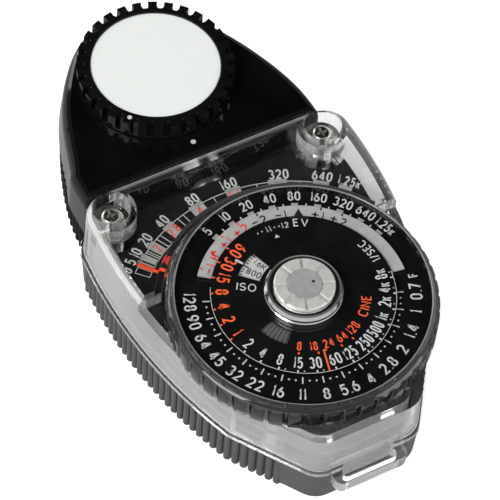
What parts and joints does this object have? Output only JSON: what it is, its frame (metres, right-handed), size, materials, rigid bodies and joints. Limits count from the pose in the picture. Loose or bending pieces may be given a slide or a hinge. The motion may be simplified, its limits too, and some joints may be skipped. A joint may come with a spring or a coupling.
{
  "type": "handheld light meter",
  "caption": "Handheld incident light meter with a swivel head and flat diffuser, stacked calculator dials, centre release button and needle behind a clear cover.",
  "frame": {"origin": "centre of the bounding box in plan, on the table plane under the back of the case", "axes": "+Z out of the dial face, +Y along the meter towards the swivel head, +X to the right seen from the front"},
  "size_m": [0.0588, 0.112, 0.0302],
  "materials": {
    "case_grey": "satin dark grey moulded plastic",
    "clear_acrylic": "polished clear acrylic",
    "clear_knurl": "clear acrylic, smoked by the dial behind",
    "bright_steel": "bright plated",
    "black_steel": "blackened",
    "scale_black": "semi-matt black print on sheet",
    "aluminium_frame": "as stamped",
    "magnet": "ground",
    "soft_iron": "machined",
    "copper_coil": "enamelled copper winding",
    "brass_parts": "turned",
    "bronze_spring": "drawn",
    "needle_red": "orange-red paint",
    "dial_black": "black print with white numerals",
    "index_disc": "light grey index arc on black",
    "chrome": "polished",
    "satin_silver": "matt silver",
    "spring_steel": "drawn",
    "brake_plastic": "natural nylon",
    "gloss_black": "glossy black",
    "ring_black": "satin to gloss black",
    "black_nylon": "moulded",
    "cell_violet": "amorphous silicon cell behind glass",
    "lead_red": "insulated wire",
    "opal_white": "opal white plastic"
  },
  "bodies": {
    "meter_body": {"rear_case": "case_grey", "front_cover": "clear_acrylic", "cover_screws": "bright_steel", "case_screws": "black_steel", "scale_plate": "scale_black", "movement_base": "aluminium_frame", "movement_bridge": "aluminium_frame", "bridge_screws": "bright_steel", "magnet_core": "magnet", "yoke_ring": "soft_iron", "jewel_screws": "brass_parts", "hairspring": "bronze_spring", "dial_hub": "brass_parts", "dial_collar": "chrome", "return_spring": "spring_steel", "brake_pin": "bright_steel", "swivel_bush": "black_nylon", "case_leads": "lead_red"},
    "needle_assembly": {"needle": "needle_red", "moving_coil": "copper_coil", "coil_pivots": "bright_steel"},
    "zero_adjuster": {"zero_adjust_screw": "brass_parts"},
    "zero_arm": {"zero_adjust_arm": "brass_parts"},
    "outer_dial": {"dial_ring": "clear_knurl", "aperture_scale": "dial_black", "dial_bush": "clear_knurl"},
    "shutter_dial": {"shutter_disc": "dial_black"},
    "film_dial": {"film_speed_disc": "index_disc"},
    "button_stem": {"button_plunger": "bright_steel"},
    "button_head": {"button_cap": "satin_silver"},
    "brake": {"needle_brake": "brake_plastic"},
    "swivel_head": {"head_front_shell": "gloss_black", "head_rear_shell": "case_grey", "head_screws": "black_steel", "swivel_neck": "black_steel", "swivel_clip": "black_steel", "diffuser_mount": "gloss_black", "cell_tray": "black_nylon", "photocell": "cell_violet", "cell_contacts": "brass_parts", "head_leads": "lead_red"},
    "diffuser": {"diffuser_ring": "ring_black", "diffuser_disc": "opal_white"}
  },
  "joints": [
    {"name": "head_swivel", "type": "hinge", "parent": "meter_body", "child": "swivel_head", "pos_m": [0, 0.0146, 0.0104], "axis": [0, 1, 0], "range_deg": [-90, 180]},
    {"name": "diffuser_twist", "type": "hinge", "parent": "swivel_head", "child": "diffuser", "pos_m": [0, 0.0366, 0.0205], "axis": [0, 0, 1], "range_deg": [-35, 0]},
    {"name": "outer_dial_turn", "type": "hinge", "parent": "meter_body", "child": "outer_dial", "pos_m": [0, -0.0252, 0.025], "axis": [0, 0, 1], "continuous": true},
    {"name": "shutter_dial_turn", "type": "hinge", "parent": "meter_body", "child": "shutter_dial", "pos_m": [0, -0.0252, 0.0278], "axis": [0, 0, 1], "continuous": true},
    {"name": "film_speed_turn", "type": "hinge", "parent": "shutter_dial", "child": "film_dial", "pos_m": [0, -0.0252, 0.0274], "axis": [0, 0, 1], "range_deg": [-45, 45]},
    {"name": "button_press", "type": "slide", "parent": "meter_body", "child": "button_stem", "axis": [0, 0, -1], "range_m": [0, 0.0008], "stiffness_N_per_m": 600, "springref_m": -0.002, "deforming": ["return_spring"]},
    {"name": "button_lock_turn", "type": "hinge", "parent": "button_stem", "child": "button_head", "pos_m": [0, -0.0252, 0.0298], "axis": [0, 0, 1], "range_deg": [-90, 0]},
    {"name": "brake_rock", "type": "hinge", "parent": "meter_body", "child": "brake", "pos_m": [0, -0.0297, 0.0176], "axis": [-1, 0, 0], "range_deg": [0, 11]},
    {"name": "needle_swing", "type": "hinge", "parent": "meter_body", "child": "needle_assembly", "pos_m": [0, -0.0252, 0.008], "axis": [0, 0, 1], "range_deg": [-87, 0], "stiffness_Nm_per_rad": 0.000002},
    {"name": "zero_screw_turn", "type": "hinge", "parent": "meter_body", "child": "zero_adjuster", "pos_m": [0, -0.0435, 0.001], "axis": [0, 0, 1], "range_deg": [-30, 30]},
    {"name": "zero_arm_shift", "type": "hinge", "parent": "meter_body", "child": "zero_arm", "pos_m": [0, -0.0252, 0.0031], "axis": [0, 0, 1], "range_deg": [-2.6, 2.6]}
  ],
  "couplings": [
    {"joint": "brake_rock", "follows": "button_press", "rad_per_m": 222.2},
    {"joint": "zero_arm_shift", "follows": "zero_screw_turn", "ratio": -0.0828}
  ]
}
